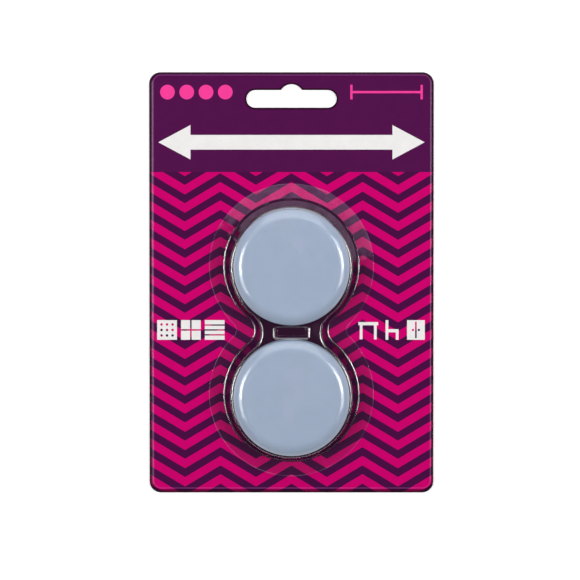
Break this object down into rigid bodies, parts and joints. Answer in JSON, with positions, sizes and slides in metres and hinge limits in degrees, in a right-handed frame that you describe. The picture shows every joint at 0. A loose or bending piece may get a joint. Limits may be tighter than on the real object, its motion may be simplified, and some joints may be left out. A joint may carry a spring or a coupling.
{
  "type": "furniture slider pack",
  "caption": "Hang card with round adhesive-backed furniture sliders stacked under a clear figure-eight blister; each slider turns freely in its pocket.",
  "frame": {"origin": "centre of the card's back face, with the pack lying on its back", "axes": "+X across the card, +Y towards the hang slot, +Z out of the printed front"},
  "size_m": [0.124, 0.184, 0.014],
  "materials": {
    "board": "uncoated pale board",
    "print": "glossy printed paper",
    "clear_sheet": "clear glossy sheet",
    "glide": "satin moulded plastic",
    "rubber": "matt rubber",
    "adhesive": "tacky film",
    "liner": "waxed paper"
  },
  "bodies": {
    "pack": {"backing_board": "board", "face_sheet": "print", "blister": "clear_sheet"},
    "upper_rear_slider": {"upper_rear_glide": "glide", "upper_rear_rubber_core": "rubber", "upper_rear_adhesive_pad": "adhesive", "upper_rear_release_liner": "liner"},
    "upper_front_slider": {"upper_front_glide": "glide", "upper_front_rubber_core": "rubber", "upper_front_adhesive_pad": "adhesive", "upper_front_release_liner": "liner"},
    "lower_rear_slider": {"lower_rear_glide": "glide", "lower_rear_rubber_core": "rubber", "lower_rear_adhesive_pad": "adhesive", "lower_rear_release_liner": "liner"},
    "lower_front_slider": {"lower_front_glide": "glide", "lower_front_rubber_core": "rubber", "lower_front_adhesive_pad": "adhesive", "lower_front_release_liner": "liner"}
  },
  "joints": [
    {"name": "upper_rear_spin", "type": "hinge", "parent": "pack", "child": "upper_rear_slider", "pos_m": [0, 0.00758, 0.0012], "axis": [0, 0, 1], "continuous": true},
    {"name": "upper_front_spin", "type": "hinge", "parent": "pack", "child": "upper_front_slider", "pos_m": [0, 0.00758, 0.0072], "axis": [0, 0, 1], "continuous": true},
    {"name": "lower_rear_spin", "type": "hinge", "parent": "pack", "child": "lower_rear_slider", "pos_m": [0, -0.04962, 0.0012], "axis": [0, 0, 1], "continuous": true},
    {"name": "lower_front_spin", "type": "hinge", "parent": "pack", "child": "lower_front_slider", "pos_m": [0, -0.04962, 0.0072], "axis": [0, 0, 1], "continuous": true}
  ]
}
